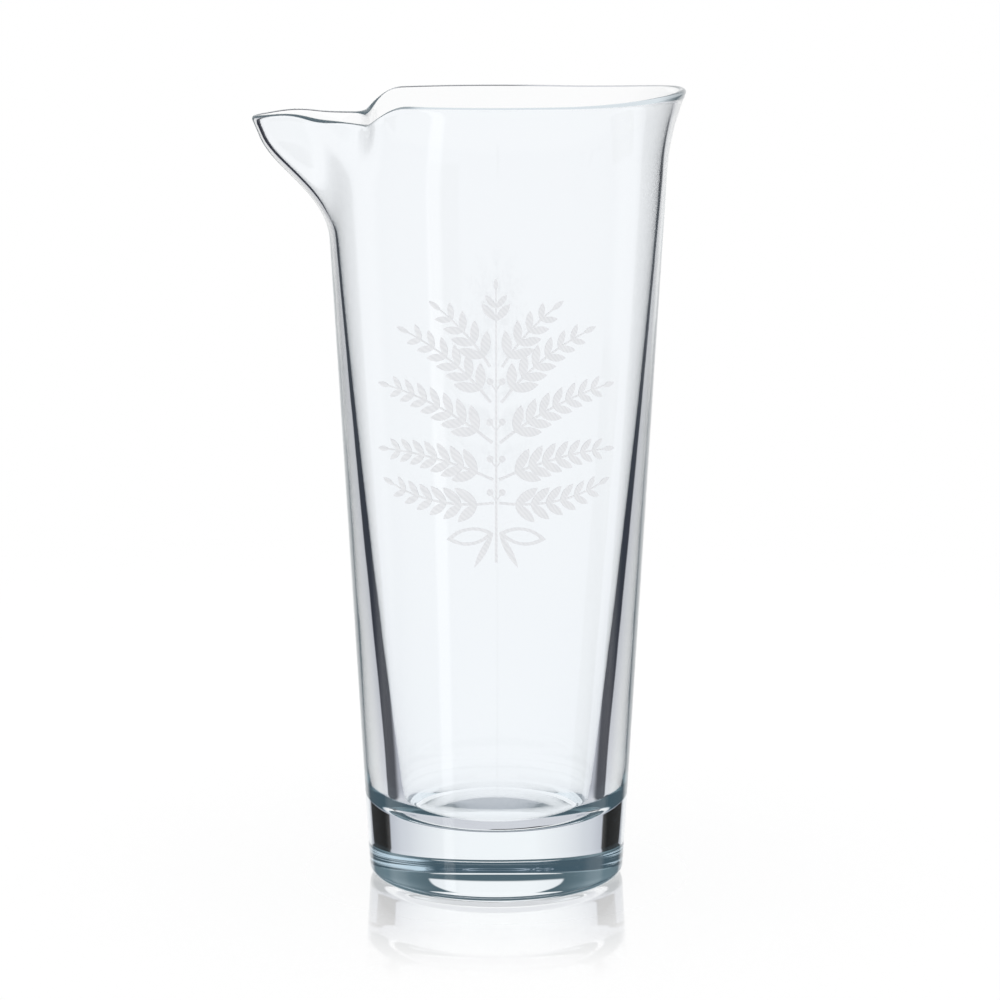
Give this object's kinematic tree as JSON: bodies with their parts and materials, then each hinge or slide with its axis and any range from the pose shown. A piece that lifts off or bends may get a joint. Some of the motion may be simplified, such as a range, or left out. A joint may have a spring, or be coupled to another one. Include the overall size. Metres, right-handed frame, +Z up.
{
  "type": "cocktail pitcher",
  "caption": "Tapered clear glass mixing pitcher with a heavy solid base, a flared rim, a pulled and pinched pouring spout and a printed botanical spray.",
  "frame": {"origin": "centre of the foot, on the plane the pitcher stands on", "axes": "+Z up along the axis of the body, the spout points along -X and the printed side looks along -Y"},
  "size_m": [0.1303, 0.1138, 0.2424],
  "materials": {
    "clear_glass": "clear, fire-polished, faint blue-green in the thick base",
    "print_enamel": "fired pale grey screen print, matt and slightly translucent"
  },
  "bodies": {
    "root": {"glass_body": "clear_glass", "print_centre_spray": "print_enamel", "print_left_sprays": "print_enamel", "print_right_sprays": "print_enamel", "print_tie": "print_enamel"}
  },
  "joints": []
}
